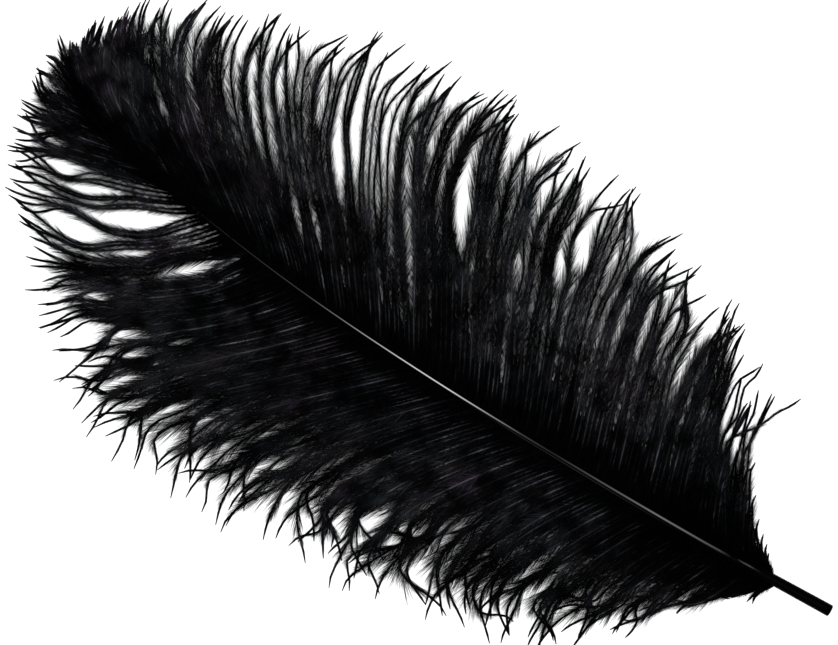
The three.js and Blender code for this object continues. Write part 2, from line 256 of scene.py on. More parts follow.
# How long the barbules are against the usual: x and share, and the span over which that comes
# in, in shares of the barb.
RIGHT.fringe = np.array([
    [20, 0.6], [34, 0.5], [45, 0.45], [52, 1.0], [66, 0.85], [96, 0.85], [104, 1.0],
    [152, 0.95], [157, 0.5], [171, 0.5], [178, 0.9], [186, 0.75], [197, 0.75], [205, 1.0],
    [292, 1.0]])
LEFT.fringe = np.array([
    [20, 0.9], [50, 1.0], [70, 1.15], [145, 1.1], [165, 0.95], [190, 0.95], [205, 1.1],
    [219, 1.1], [225, 0.6], [247, 0.6], [254, 1.0], [270, 1.0], [278, 1.5], [292, 1.6]])
RIGHT.fringe_span = (0.3, 0.55)
LEFT.fringe_span = (-0.1, 0.2)
# How far the mat of packed barbule roots spreads: x, share of its width, and least and most
# share of the barb it runs along.
RIGHT.mat = np.array([
    [20, 1, 0.3, 0.6], [60, 1, 0.3, 0.6], [145, 1, 0.12, 0.5], [200, 1, 0.12, 0.5],
    [230, 1, 0.4, 0.8], [270, 1, 0.5, 0.9], [292, 2.2, 0.5, 0.9]])
LEFT.mat = np.array([
    [20, 2.2, 0.5, 0.8], [38, 1.5, 0.4, 0.7], [60, 1.15, 0.5, 0.85], [110, 1.1, 0.5, 0.85],
    [190, 1, 0.4, 0.8], [205, 1, 0.3, 0.6], [210, 0.9, 0.06, 0.3], [218, 0.9, 0.04, 0.3],
    [225, 0.4, 0.02, 0.2], [247, 0.4, 0.02, 0.2], [256, 1, 0.4, 0.7], [272, 1.4, 0.4, 0.8],
    [292, 2.8, 0.5, 0.9]])
# How bright the barbs are against the usual: x, and the shares by the shaft and further out.
RIGHT.tone = np.array([
    [20, 0.5, 0.8], [45, 0.5, 0.8], [60, 0.75, 1.1], [85, 1.0, 1.1], [135, 0.8, 1.1],
    [150, 0.7, 1.1], [200, 0.8, 1.1], [222, 0.35, 1.4], [250, 0.3, 2.0], [292, 0.4, 1.8]])
LEFT.tone = np.array([
    [20, 0.25, 0.5], [58, 0.4, 0.6], [72, 1.6, 0.35], [92, 1.4, 0.5], [110, 0.9, 1.0],
    [240, 1.0, 1.2], [255, 0.6, 1.6], [292, 0.7, 1.6]])
TONE_SPAN = (0.3, 0.55)

# A barb is a tube. Its width is in shares of the usual, against millimetres from its end: it
# swells from its point, then thins a little behind the needle.
BARB_RINGS = 24
RING_PLACES = np.linspace(0, 1, BARB_RINGS)**0.9
CORE_SIDES = 5
POINT_WIDTH = 0.45
POINT_SWELL = 0.75
POINT_SPAN = (-0.2, 2.4)
NEEDLE_THINNING = 0.2
NEEDLE_SPAN = (6, 14)
RIDGE_HEIGHT = 1.1  # over the middle line, in half widths
EDGE_DROP = 0.5  # under the middle line, in half widths
MAT_DROP = 0.15  # of the mat's reach past the barb
MAT_FULL_LENGTH = 45.0  # shorter barbs have a narrower mat
MAT_SPAN = (0.1, 1.0)  # in shares of the mat's run

# Barbules. Lengths are shares of the usual and spans are shares of the barb's length, unless
# another unit is given.
BARE_SPREAD = (0.6, 1.2)
BARE_FULL_LENGTH = 40.0  # shorter barbs have a shorter needle
FEWEST_BARBULES = 4
CROWD_STEPS = 60
CROWD = (0.5, 0.8, -0.35)  # how close they are at a barb's root, and what each span adds
CROWD_SPANS = ((0.08, 0.38), (0.58, 0.85))  # in shares of the way to the bare end
TUFT_PITCH = 2.8  # millimetres
TUFT_PULL = 0.3  # of the way to the tuft's middle, at the tips
TUFT_LENGTH = 0.08  # how unlike tufts are in length
TUFT_LEAN = 0.8  # and in lean, in degrees
OUTER_SPAN = (0.2, 0.6)
INNER_LENGTH = 0.55
LEAST_LENGTH = 0.3
MORE_LENGTH = 0.85  # of the longest, over the least
LENGTH_POWER = 1.4  # the higher, the fewer long ones
SHORT_BARB = (0.35, 50.0)  # length on the shortest barbs, and millimetres of barb for 1 more
BARB_LENGTH_SPREAD = (0.85, 1.12)
LAST_LENGTH = 0.25  # millimetres of the longest barbule at the bare end,
LAST_GROWTH = 0.68  # and how many more for each millimetre before it
LEAN = 30.0  # degrees off the barb
OUTER_LEAN = 13.0  # less, further out
LAST_LEAN = 12.0  # less, before the bare end
LAST_SPAN = (18, 2)  # millimetres before the bare end
LEAN_SPREAD = 3.5
SAG = 8.0  # degrees out of the vane, by the shaft
SAG_SPREAD = 14.0
ROOT_BREADTH = 3.7  # how broad they are by the shaft against the usual
BREADTH_SPAN = (0.15, 0.52)
BEND = (0.006, 0.008)  # mean and spread of the bend at mid length, in shares of the length
ROOT_GAP = 0.08  # millimetres off the barb's middle line
ELBOW_PLACE = 0.45  # where the bend is
ELBOW_PULL = 0.3  # of the tip's
ELBOW_THICKNESS = 0.9  # in half widths, as the next
ROOT_DROP = 0.5

# Tones. Some of them are painted light and shade: a highlight along each barb's ridge, and shade
# that darkens the barbules by the shaft.
BARB_TONE = (-0.8, 0.5)  # mean and spread, both times the tone spread
HAIR_TONE_SPREAD = 0.5
# Painted shade: barbules are darkened by the shaft, where they lie thick, and lighten further out.
HAIR_SHADE_DARKEST = 0.08  # by the shaft
HAIR_LIGHT_SPAN = (4, 20)  # millimetres from the shaft, as the next
RIDGE_LIGHT_SPAN = (3, 14)
RIDGE_TONE_SPREAD = 0.7
RIDGE_FADE = 0.7
RIDGE_FADE_SPAN = (0.35, 0.7)
RIDGE_BRIGHTEST = 2.2
# Painted highlight: the ridge of each barb's ring is painted far lighter than its edges.
RING_GLINT = np.array([0.1, 0.2, 6.0, 0.2, 0.1])  # round a barb, with the ridge in the middle


# ---- the stage, in metres

FLOOR_REACH = 3.0
FLOOR_WHITE = 0.9
FLOOR_ROUGHNESS = 0.9
LAMP_HEIGHT = 3.0  # over the ground
CAMERA_AIM = (158.0, 4.0)  # the middle of the view, in the quill's coordinates
CAMERA_TURN = 36.5  # slope of the shaft's chord in the view, in degrees
VIEW_WIDTH = 263.1 * MM
VIEW_HEIGHT = 8 * MM  # height over the ground at which the view is that wide
VIEW_DEPTH = 20.0
SENSOR_WIDTH = 36.0  # in millimetres, as cameras have it


# ---- curves and fields

def ramp(a, b, x):
    """0 at a and before it, 1 at b and past it, and 3s^2 - 2s^3 in between, s the share of the
    way from a to b."""
    s = np.clip((x - a) / (b - a), 0.0, 1.0)
    return s * s * (3.0 - 2.0 * s)


def columns_at(table, x):
    """Each column of a table but the first, at x, on straight lines between its rows."""
    return [np.interp(x, table[:, 0], column) for column in table[:, 1:].T]


def table_at(table, x):
    """The second column of a table at x."""
    return columns_at(table, x)[0]


def two_shares(table, x, f, span):
    """The second column of a table at x where f is before the span, the third past it."""
    near, far = columns_at(table, x)
    return near + (far - near) * ramp(*span, f)


def curve_at(table, x, c):
    """Column c of a table at x, on a cubic Hermite curve whose slope at a row is that of the
    chord between the rows beside it."""
    x = np.asarray(x, float)
    tx, ty = table[:, 0], table[:, c]
    before, after = np.r_[0, :len(tx) - 1], np.r_[1:len(tx), len(tx) - 1]
    slope = (ty[after] - ty[before]) / (tx[after] - tx[before])
    i = np.clip(np.searchsorted(tx, x, side="right") - 1, 0, len(tx) - 2)
    w = tx[i + 1] - tx[i]
    s = (x - tx[i]) / w
    return ((2 * s**3 - 3 * s**2 + 1) * ty[i] + (s**3 - 2 * s**2 + s) * w * slope[i]
            + (3 * s**2 - 2 * s**3) * ty[i + 1] + (s**3 - s**2) * w * slope[i + 1])


def unit(rows):
    """Vectors along the last axis, each brought to length 1."""
    return rows / np.linalg.norm(rows, axis=-1, keepdims=True)


def shaft_slope(x, c):
    """How much column c of the shaft's middle line gains over one millimetre about x."""
    return curve_at(SHAFT_LINE, x + 0.5, c) - curve_at(SHAFT_LINE, x - 0.5, c)


def shaft_at(x):
    """Middle line of the shaft at x, the unit direction along it seen from above, and its half
    width."""
    x = np.asarray(x, float)
    at = np.stack([x, curve_at(SHAFT_LINE, x, 1), curve_at(SHAFT_LINE, x, 2)], -1)
    slope = shaft_slope(x, 1)
    along = unit(np.stack([np.ones_like(slope), slope], -1))
    return at, along, table_at(SHAFT_RADIUS, x)


def heading(degrees):
    """Unit direction in the plan from degrees."""
    a = np.radians(degrees)
    return np.stack([np.cos(a), np.sin(a)], -1)


def barb_height(start, span, t):
    """Height of a barb a share t of its way out, from its height at the shaft:
    (start + lift sin(pi t)) (1 - t^droop) + tip t^droop."""
    lift = LIFT * np.minimum(1.0, span / FULL_SPAN) * np.sin(np.pi * t)
    fall = t**DROOP
    return (start + lift) * (1 - fall) + TIP_HEIGHT * fall


def vane_point(vane, u, t):
    """Where the barb that leaves the shaft at u is, a share t of its way out: in plan a cubic
    Bezier curve from the shaft's side to the field's end point, held to the field's headings."""
    at, along, radius = shaft_at(u)
    across = np.stack([-along[..., 1], along[..., 0]], -1) * vane.side
    root = at[..., :2] + across * (radius * ROOT_OUT)[..., None]
    first, end_x, end_y, last = columns_at(vane.field, u)
    end = np.stack([end_x, end_y], -1)
    span = np.linalg.norm(end - root, axis=-1)[..., None]
    near = root + START_PULL * span * heading(first)
    far = end - END_PULL * span * heading(last)
    s = t[..., None]
    flat = ((1 - s)**3 * root + 3 * (1 - s)**2 * s * near
            + 3 * (1 - s) * s**2 * far + s**3 * end)
    z = barb_height(at[..., 2], span[..., 0], np.minimum(t, 1.0))
    return np.concatenate([flat, z[..., None]], -1)


def parting_push(partings, u, t):
    """How far the partings push the barb from u along the shaft, a share t of its way out: each
    pushes by half its width, away from its middle, fading as exp(-distance / fade)."""
    push = np.zeros(np.broadcast(u, t).shape)
    for at, opens, widest, shut, half in partings:
        shape = ramp(opens, widest, t) * (1 - PARTING_CLOSES * ramp(widest, shut, t))
        push += half * np.sign(u - at) * np.exp(-np.abs(u - at) / PARTING_FADE) * shape
    return push


# ---- places and meshes

def shaft_ring(x, sides, radius_of):
    """Rings of points round the shaft's middle line at each x, one row for each ring."""
    at, along, _ = shaft_at(x)
    forward = unit(np.concatenate([along, shaft_slope(x, 2)[:, None]], -1))
    side = np.stack([-along[:, 1], along[:, 0], np.zeros(len(x))], -1)
    top = np.cross(forward, side)
    turn = 2 * np.pi * np.arange(sides) / sides
    r = radius_of(x[:, None], turn)[..., None]
    return at[:, None] + r * (np.cos(turn)[:, None] * side[:, None]
                              + np.sin(turn)[:, None] * top[:, None])


def row_shift():
    """What takes the quill's coordinates to the row frame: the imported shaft's lowest corner less
    that of the same ring at the cut end, in millimetres."""
    low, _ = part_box("shaft")
    cut = shaft_ring(np.array([0.0]), SHAFT_CAD_SIDES, lambda x, a: SHAFT_RADIUS[0, 1] + 0 * a)
    return np.array(low) / MM - cut.reshape(-1, 3).min(0)


SHIFT = row_shift()


def to_row(points):
    """Millimetres in the quill's coordinates to metres in the row frame, nothing below ground."""
    row = (points + SHIFT) * MM
    row[..., 2] = np.maximum(row[..., 2], GROUND_GAP * MM)
    return row


def put_mesh(name, points, triangles, material, smooth, tone=None):
    """A mesh object at the origin from points in metres and rows of three point numbers, with a
    tone for each point where it is given."""
    mesh = bpy.data.meshes.new(name)
    mesh.vertices.add(len(points))
    mesh.vertices.foreach_set("co", points.astype(np.float32).ravel())
    mesh.loops.add(triangles.size)
    mesh.loops.foreach_set("vertex_index", triangles.astype(np.int32).ravel())
    mesh.polygons.add(len(triangles))
    mesh.polygons.foreach_set("loop_start", np.arange(0, triangles.size, 3, dtype=np.int32))
    mesh.polygons.foreach_set("use_smooth", np.full(len(triangles), smooth))
    mesh.update(calc_edges=True)
    if tone is not None:
        values = mesh.attributes.new("tone", "FLOAT", "POINT").data
        values.foreach_set("value", tone.astype(np.float32))
    mesh.materials.append(material)
    made = bpy.data.objects.new(name, mesh)
    bpy.context.scene.collection.objects.link(made)
    return made


def belongs(piece, node):
    """The piece stands for a node of the part: it hangs under the root body, and the node's
    imported mesh is hidden.
    """
    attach(piece, "root")
    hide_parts(node)


def tube_faces(rings, sides):
    """Triangles of a tube of rings of points, one after another, with both ends closed."""
    k, n = np.meshgrid(np.arange(rings - 1), np.arange(sides), indexing="ij")
    a, b = k * sides + n, k * sides + (n + 1) % sides
    walls = np.concatenate([np.stack([a, b, b + sides], -1).reshape(-1, 3),
                            np.stack([a, b + sides, a + sides], -1).reshape(-1, 3)])
    i = np.arange(1, sides - 1)
    head = np.stack([0 * i, i + 1, i], -1)
    tail = np.stack([0 * i, i, i + 1], -1) + (rings - 1) * sides
    return np.concatenate([walls, head, tail])


def core_faces(count):
    """Triangles of so many barbs' tubes, one tube after another."""
    first = np.arange(count)[:, None, None] * BARB_RINGS * CORE_SIDES
    return (tube_faces(BARB_RINGS, CORE_SIDES) + first).reshape(-1, 3)


def tetra_faces(points):
    """Faces of tetrahedra, turned outwards by the sign of each one's volume."""
    a, b, c, d = np.moveaxis(points, 1, 0)
    turned = np.einsum("ij,ij->i", np.cross(b - a, c - a), d - a) > 0
    first = np.arange(len(points))[:, None, None] * 4
    one = np.array([[0, 1, 2], [0, 3, 1], [1, 3, 2], [0, 2, 3]])
    faces = np.where(turned[:, None, None], one[:, ::-1], one)
    return (faces + first).reshape(-1, 3)


# ---- the shaft

def build_shaft(rings, sides, material):
    """The shaft from the bottom of its bore, out to the cut end and back along the outside to the
    tip, with a furrow along its underside: r (1 - depth max(0, -sin a)^power). The tone is the
    strength of a painted highlight, pale lines of colour along the shaft that stand in for its
    shine, as the shaft's highlight table gives it."""

    def outside(x, a):
        furrow = GROOVE_DEPTH * ramp(GROOVE_START, GROOVE_START + GROOVE_RUN_IN, x)
        return table_at(SHAFT_RADIUS, x) * (1 - furrow * np.maximum(0, -np.sin(a))**GROOVE_POWER)

    def inside(x, a):
        return BORE_RADIUS * np.where(x == BORE_DEPTH, BORE_BOTTOM, 1.0) + 0 * a

    bore = shaft_ring(np.array([BORE_DEPTH, BORE_DEPTH - BORE_TAPER, 0.0]), sides, inside)
    lip = shaft_ring(np.array([0.0]), sides, lambda x, a: outside(x, a) - LIP_WIDTH)
    x = SHAFT_LINE[-1, 0] * np.linspace(0, 1, rings)**SHAFT_RING_POWER
    x[0] = LIP_LENGTH
    points = np.concatenate([bore, lip, shaft_ring(x, sides, outside)])
    tone = np.zeros(points.shape[:2])
    # Painted highlight: pale lines of colour along the shaft, in place of its shine.
    for turn, painted_highlight in zip(HIGHLIGHT_TURNS, columns_at(SHAFT_HIGHLIGHT, x)):
        tone[-rings:, round(sides * turn / 360)] = painted_highlight
    return put_mesh("plume_shaft", to_row(points.reshape(-1, 3)), tube_faces(len(points), sides),
                    material, True, tone.ravel())


# ---- the barbs' middle lines

def barb_roots(field, count, rng):
    """Where each barb leaves the shaft, evenly but for a small stray."""
    first, last = field[0, 0] + ROOT_MARGINS[0], field[-1, 0] - ROOT_MARGINS[1]
    step = (last - first) / count
    return first + step * (np.arange(count) + 0.5 + rng.uniform(-ROOT_STRAY, ROOT_STRAY, count))


def barb_locks(u, partings, rng):
    """The lock each barb is in, the middle it clings to, and how closely. Locks hold one to five
    barbs, and none reaches across a parting."""
    cuts = np.searchsorted(u, np.sort(partings[:, 0]))
    ends = np.cumsum(rng.choice(LOCK_SIZES, size=len(u), p=LOCK_CHANCES))
    starts = np.unique(np.r_[0, cuts[cuts < len(u)], ends[ends < len(u)]])
    lock = np.searchsorted(starts, np.arange(len(u)), side="right") - 1
    middle = np.bincount(lock, u) / np.bincount(lock)
    cling = rng.uniform(*CLING, len(starts))
    return lock, middle[lock], cling[lock]


def part_shared(lock, apart, rng):
    """Normal numbers, one for each barb: its lock's times sqrt(1 - apart^2), and its own times
    apart."""
    return (rng.normal(0, 1, lock.max() + 1)[lock] * np.sqrt(1 - apart**2)
            + rng.normal(0, 1, len(lock)) * apart)


def curled(path, curls, u, leanings, rng):
    """The paths with their last stretch turned in the plan, by the table's mean plus its spread
    times each barb's leaning: the angle grows over the first half of that stretch, and more than
    half of it is turned back at the end."""
    step = np.diff(path, axis=1)
    flat = np.linalg.norm(step[..., :2], axis=-1)
    to_go = flat[:, ::-1].cumsum(1)[:, ::-1]
    stretch = rng.uniform(*CURL_STRETCH, (len(path), 1)) * np.minimum(
        1.0, to_go[:, :1] / CURL_FULL_LENGTH)
    way = 1 - to_go / stretch
    mean, spread = columns_at(curls, u)
    turn = np.radians(mean + spread * np.clip(leanings, -CURL_LIMIT, CURL_LIMIT))[:, None]
    angle = np.arctan2(step[..., 1], step[..., 0]) + turn * (
        ramp(*CURL_SPAN, way) - UNCURL * ramp(*UNCURL_SPAN, way))
    step[..., :2] = flat[..., None] * np.stack([np.cos(angle), np.sin(angle)], -1)
    return np.concatenate([path[:, :1], path[:, :1] + step.cumsum(1)], 1)


def grown_paths(vane, shape, rng):
    """Middle lines of one side's barbs: where each leaves the shaft, how much of its way it
    runs, and the points along it.

    A barb follows the field from its own place along the shaft, which moves as it goes: towards
    its lock's middle, off the partings, and by chance near its end."""
    u = barb_roots(vane.field, shape.barbs_per_side, rng)
    lock, middle, cling = barb_locks(u, vane.partings, rng)
    count = len(u)

    least, most = columns_at(vane.reach, u)
    ends = least + rng.beta(*REACH_POWERS, count) * (most - least)
    t = ends[:, None] * np.linspace(0, 1, FINE_SAMPLES)
    gather = ramp(*GATHER_SPAN, t) * (1 - LOOSEN * ramp(*LOOSEN_SPAN, t))
    apart = table_at(vane.apart, u)
    stray = table_at(vane.stray, u) * getattr(shape, vane.name + "_unrest")
    wander = (rng.normal(0, WANDER, count) * stray)[:, None] * ramp(*WANDER_SPAN, t)
    hook = (part_shared(lock, apart, rng) * stray)[:, None] * ramp(*HOOK_SPAN, t)**HOOK_POWER
    at = (u[:, None] + ((middle - u) * cling)[:, None] * gather
          + parting_push(vane.partings, u[:, None], t) + wander + hook)
    path = vane_point(vane, np.clip(at, vane.field[0, 0], vane.field[-1, 0]), t)

    layer = rng.uniform(-LAYER, LAYER, (count, 1)) * ramp(*LAYER_SPAN, t)
    sway = rng.normal(0, SWAY, (count, 1)) * np.sin(
        SWAY_HALF_WAVES * np.pi * t + rng.uniform(0, SWAY_PHASE, (count, 1)))
    path[..., 2] += (layer + sway * ramp(*SWAY_SPAN, t)) * (1 - ramp(*LEVEL_SPAN, t))
    leanings = part_shared(lock, apart, rng)
    return u, ends, curled(path, vane.curl, u, leanings, rng)


def loose_paths(loose):
    """Middle lines of the loose barbs, given as the grown ones are: a cubic Hermite curve from
    the shaft through the points, falling as the vane does."""
    t = np.linspace(0, 1, FINE_SAMPLES)
    paths = []
    for u, points in loose:
        start = shaft_at(float(u))[0]
        knots = np.array([start[:2], *points], float)
        run = np.r_[0, np.cumsum(np.linalg.norm(np.diff(knots, axis=0), axis=1))]
        table = np.column_stack([run / run[-1], knots])
        z = barb_height(start[2], run[-1], t)
        paths.append(np.stack([curve_at(table, t, 1), curve_at(table, t, 2), z], -1))
    return np.array([float(u) for u, _ in loose]), np.ones(len(loose)), np.stack(paths)


def even_rows(path):
    """Points evenly spaced along each path, and each path's length."""
    step = np.linalg.norm(np.diff(path, axis=1), axis=-1)
    run = np.concatenate([np.zeros((len(path), 1)), np.cumsum(step, 1)], 1)
    share = np.linspace(0, 1, PATH_SAMPLES)
    rows = [np.stack([np.interp(share * r[-1], r, p[:, c]) for c in range(3)], -1)
            for r, p in zip(run, path)]
    return np.stack(rows), run[:, -1]


def barb_paths(vane, shape, rng):
    """One side's barbs from the base to the tip: where they leave the shaft, points evenly spaced
    along each, their lengths, and at each point how long the barbules are against the usual."""
    u, ends, path = (np.concatenate(pair) for pair in zip(
        grown_paths(vane, shape, rng), loose_paths(vane.loose)))
    order = np.argsort(u, kind="stable")
    u, ends, path = u[order], ends[order], path[order]
    spaced, length = even_rows(path)
    share = ends[:, None] * np.linspace(0, 1, PATH_SAMPLES)
    fringe = 1 + (table_at(vane.fringe, u)[:, None] - 1) * ramp(*vane.fringe_span, share)
    return u, spaced, length, fringe


def frames_along(path):
    """Unit tangent, sideways and upward directions along each path."""
    tangent = unit(np.gradient(path, axis=1))
    side = unit(np.cross(np.array([0.0, 0.0, 1.0]), tangent))
    return tangent, side, np.cross(tangent, side)


def at_fraction(rows, barb, f):
    """Rows of points or directions of each barb, read at a fraction f of its length."""
    x = f * (rows.shape[1] - 1)
    i = np.minimum(x.astype(int), rows.shape[1] - 2)
    w = (x - i)[:, None]
    return (1 - w) * rows[barb, i] + w * rows[barb, i + 1]


# ---- barbs and barbules

def build_cores(mats, u, path, length, shape, rng):
    """Points of five-sided tubes along the barbs, one row for each barb: a ridge on top, and flat
    edges where the roots of the barbules are packed close, broad by the shaft and gone further
    out. The barb's bare end tapers to a blunt point."""
    count = len(path)
    barb = np.repeat(np.arange(count), BARB_RINGS)
    f = np.tile(RING_PLACES, count)
    _, side, up = frames_along(path)
    at, s, n = (at_fraction(rows, barb, f) for rows in (path, side, up))
    to_go = (1 - f) * length[barb]
    width = shape.barb_width / MM * (
        POINT_WIDTH + POINT_SWELL * ramp(*POINT_SPAN, to_go)
        - NEEDLE_THINNING * ramp(*NEEDLE_SPAN, to_go))
    share, least, most = columns_at(mats, u)
    ends = rng.uniform(least, most)
    mat = shape.mat_width / MM * (share * np.minimum(1.0, length / MAT_FULL_LENGTH))[barb]
    mat *= 1 - ramp(*MAT_SPAN, f / ends[barb])
    h = 0.5 * width[:, None]
    e = np.maximum(h, 0.5 * mat[:, None])
    drop = MAT_DROP * (e - h) * n
    ring = np.stack([
        at + e * s - EDGE_DROP * h * n - drop, at + h * s, at + RIDGE_HEIGHT * h * n,
        at - h * s, at - e * s - EDGE_DROP * h * n - drop], 1)
    return ring.reshape(count, -1, 3)


def barbule_places(length, needle, shape, rng):
    """The barb each barbule is on, its hand (1 to the left of the barb, -1 to the right), how far
    along the barb it stands, and how far that is from the bare end.

    Each hand's way is cut into shares, one to a barbule, which stands at random in its own. The
    shares are equal steps of the crowding's running sum, so they are narrowest at mid length."""
    bare = shape.needle_length / MM * needle * rng.uniform(*BARE_SPREAD, len(length))
    bare *= np.minimum(1.0, length / BARE_FULL_LENGTH)
    haired = length - bare
    per_side = np.maximum((haired * shape.barbules_per_mm).astype(int), FEWEST_BARBULES)
    barb = np.repeat(np.arange(len(length)), 2 * per_side)
    first = np.cumsum(2 * per_side) - 2 * per_side
    order = np.arange(len(barb)) - first[barb]
    hand = np.where(order % 2 == 0, 1.0, -1.0)
    share = (order // 2 + rng.uniform(0, 1, len(barb))) / per_side[barb]

    way = np.linspace(0, 1, CROWD_STEPS)
    passed = np.cumsum(CROWD[0] + CROWD[1] * ramp(*CROWD_SPANS[0], way)
                       + CROWD[2] * ramp(*CROWD_SPANS[1], way))
    passed = (passed - passed[0]) / (passed[-1] - passed[0])
    run = np.interp(share, passed, way) * haired[barb]
    return barb, hand, run, haired[barb] - run


def tufts(barb, hand, run, rng):
    """Barbules lean together in tufts, alike in length and heading: a normal number for each
    barbule's tuft, and how far along the barb its tip is pulled."""
    flank = (hand > 0).astype(int)
    count = barb[-1] + 1
    place = run / TUFT_PITCH + rng.uniform(0, 1, (count, 2))[barb, flank]
    tuft = place.astype(int)
    kind = rng.normal(0, 1, (count, 2, tuft.max() + 1))[barb, flank, tuft]
    return kind, TUFT_PULL * TUFT_PITCH * (tuft + 0.5 - place)


def build_barbules(path, length, fringe, needle, shape, rng):
    """Barbules as thin closed tetrahedra: two points on the barb, one at mid length pushed
    outwards so that it looks bent, and the tip. Near the shaft they are broad and stand well off
    the barb, further out they are fine and swept forward, and the barb's end is bare. Returns
    their points, the barb each belongs to, and how far along it."""
    barb, hand, run, to_bare = barbule_places(length, needle, shape, rng)
    f = run / length[barb]
    tangent, side, up = frames_along(path)
    at, t, s, n = (at_fraction(rows, barb, f) for rows in (path, tangent, side, up))
    kind, pull = tufts(barb, hand, run, rng)

    outer = ramp(*OUTER_SPAN, f)
    size = shape.barbule_length / MM * (INNER_LENGTH + (1 - INNER_LENGTH) * outer) * (
        LEAST_LENGTH + MORE_LENGTH * rng.uniform(0, 1, len(barb))**LENGTH_POWER)
    size *= np.minimum(1.0, SHORT_BARB[0] + length[barb] / SHORT_BARB[1])
    size *= rng.uniform(*BARB_LENGTH_SPREAD, len(path))[barb]
    size *= at_fraction(fringe[..., None], barb, f)[:, 0]
    size = np.minimum(size, LAST_GROWTH * to_bare + LAST_LENGTH) * np.exp(TUFT_LENGTH * kind)
    lean = LEAN - OUTER_LEAN * outer - LAST_LEAN * ramp(*LAST_SPAN, to_bare) + TUFT_LEAN * kind
    angle = np.radians(lean + rng.normal(0, LEAN_SPREAD, len(barb)))
    sag = np.radians(SAG * (1 - outer) + rng.normal(0, SAG_SPREAD, len(barb)))
    breadth = ROOT_BREADTH - (ROOT_BREADTH - 1) * ramp(*BREADTH_SPAN, f)
    half = 0.5 * shape.barbule_width / MM * breadth

    out = (hand * np.cos(sag))[:, None] * s + np.sin(sag)[:, None] * n
    c, d = np.cos(angle)[:, None], np.sin(angle)[:, None]
    forth, away = c * t + d * out, c * out - d * t
    size, half, pull = size[:, None], half[:, None], pull[:, None] * t
    bend = rng.normal(*BEND, (len(barb), 1))
    root = at + ROOT_GAP * out
    points = np.stack([
        root - half * away - ROOT_DROP * half * n,
        root + half * away - ROOT_DROP * half * n,
        root + size * (ELBOW_PLACE * forth + bend * away) + ELBOW_PULL * pull
        + ELBOW_THICKNESS * half * n,
        root + size * forth + pull,
    ], 1)
    return points, barb, run


def vane_tones(tones, u, length, barb, run, shape, rng):
    """Tones of each barb's points, and of each barbule. Every barb, barbule and ring of a barb
    has one of its own, exp(spread normal), which falls towards the shaft as painted shade. A
    ring's is highest on the barb's ridge, as a painted highlight."""
    mean, spread = BARB_TONE
    own = np.exp(shape.tone_spread * (spread * rng.normal(0, 1, len(u)) + mean))
    hair = np.exp(HAIR_TONE_SPREAD * rng.normal(0, 1, len(barb))) * own[barb]
    # Painted shade by the shaft.
    hair *= HAIR_SHADE_DARKEST + (1 - HAIR_SHADE_DARKEST) * ramp(*HAIR_LIGHT_SPAN, run)
    hair *= two_shares(tones, u[barb], run / length[barb], TONE_SPAN)
    # Painted highlight along each barb's ridge.
    ridge = np.exp(RIDGE_TONE_SPREAD * rng.normal(0, 1, (len(u), BARB_RINGS))) * own[:, None]
    ridge *= ramp(*RIDGE_LIGHT_SPAN, length[:, None] * RING_PLACES)
    ridge *= 1 - RIDGE_FADE * ramp(*RIDGE_FADE_SPAN, RING_PLACES)
    ridge *= two_shares(tones, u[:, None], RING_PLACES, TONE_SPAN)
    points = np.minimum(ridge, RIDGE_BRIGHTEST)[..., None] * RING_GLINT
    return points.reshape(len(u), -1), hair


def build_vane(vane, names, shape, material):
    """One side's barbs, with their barbules, in pieces of about the same number of barbules from
    the base to the tip."""
    rng = np.random.default_rng(vane.seed)
    u, path, length, fringe = barb_paths(vane, shape, rng)
    cores = build_cores(vane.mat, u, path, length, shape, rng)
    needle = table_at(vane.needle, u)
    hairs, barb, run = build_barbules(path, length, fringe, needle, shape, rng)
    core_tones, hair_tones = vane_tones(vane.tone, u, length, barb, run, shape, rng)

    per_barb = np.bincount(barb)
    share = np.cumsum(per_barb) / per_barb.sum()
    piece_of = np.minimum((share * len(names)).astype(int), len(names) - 1)
    made = []
    for i, name in enumerate(names):
        mine = piece_of == i
        core, hair = cores[mine].reshape(-1, 3), hairs[mine[barb]]
        points = np.concatenate([core, hair.reshape(-1, 3)])
        faces = np.concatenate([core_faces(mine.sum()), tetra_faces(hair) + len(core)])
        tone = np.concatenate([core_tones[mine].ravel(), np.repeat(hair_tones[mine[barb]], 4)])
        made.append(put_mesh(name, to_row(points), faces, material, False, tone))
    return made


# ---- materials

# Scales are in patches to a metre, about. Stops are where the noise takes each colour.
PATCH_DETAIL = 3.0
TINT_SCALE = 55.0
TINT_STOPS = (0.35, 0.5, 0.66)
CLOUD_SCALE = 130.0
CLOUDS = ((0.38, (0.3, 0.3, 0.3)), (0.64, (2.2, 2.2, 2.2)))


def new_material(name, roughness, shine):
    """A material of that finish, its nodes, its links and the socket for its colour."""
    material = bpy.data.materials.new(name)
    material.use_nodes = True
    nodes = material.node_tree.nodes
    shader = nodes["Principled BSDF"].inputs
    shader["Roughness"].default_value = roughness
    shader["Specular IOR Level"].default_value = shine
    return material, nodes, material.node_tree.links, shader["Base Color"]


def tone_of(nodes):
    """The points' tone, as a node's output."""
    tone = nodes.new("ShaderNodeAttribute")
    tone.attribute_name = "tone"
    return tone.outputs["Fac"]


def patches(nodes, links, scale, stops):
    """Soft patches of colour: noise in Object coordinates through a colour ramp."""
    place = nodes.new("ShaderNodeTexCoord")
    noise = nodes.new("ShaderNodeTexNoise")
    noise.inputs["Scale"].default_value = scale
    noise.inputs["Detail"].default_value = PATCH_DETAIL
    colours = nodes.new("ShaderNodeValToRGB")
    first, last = colours.color_ramp.elements
    first.position, first.color = stops[0][0], (*stops[0][1], 1)
    last.position, last.color = stops[-1][0], (*stops[-1][1], 1)
    for position, colour in stops[1:-1]:
        colours.color_ramp.elements.new(position).color = (*colour, 1)
    links.new(place.outputs["Object"], noise.inputs["Vector"])
    links.new(noise.outputs["Fac"], colours.inputs["Fac"])
    return colours.outputs["Color"]


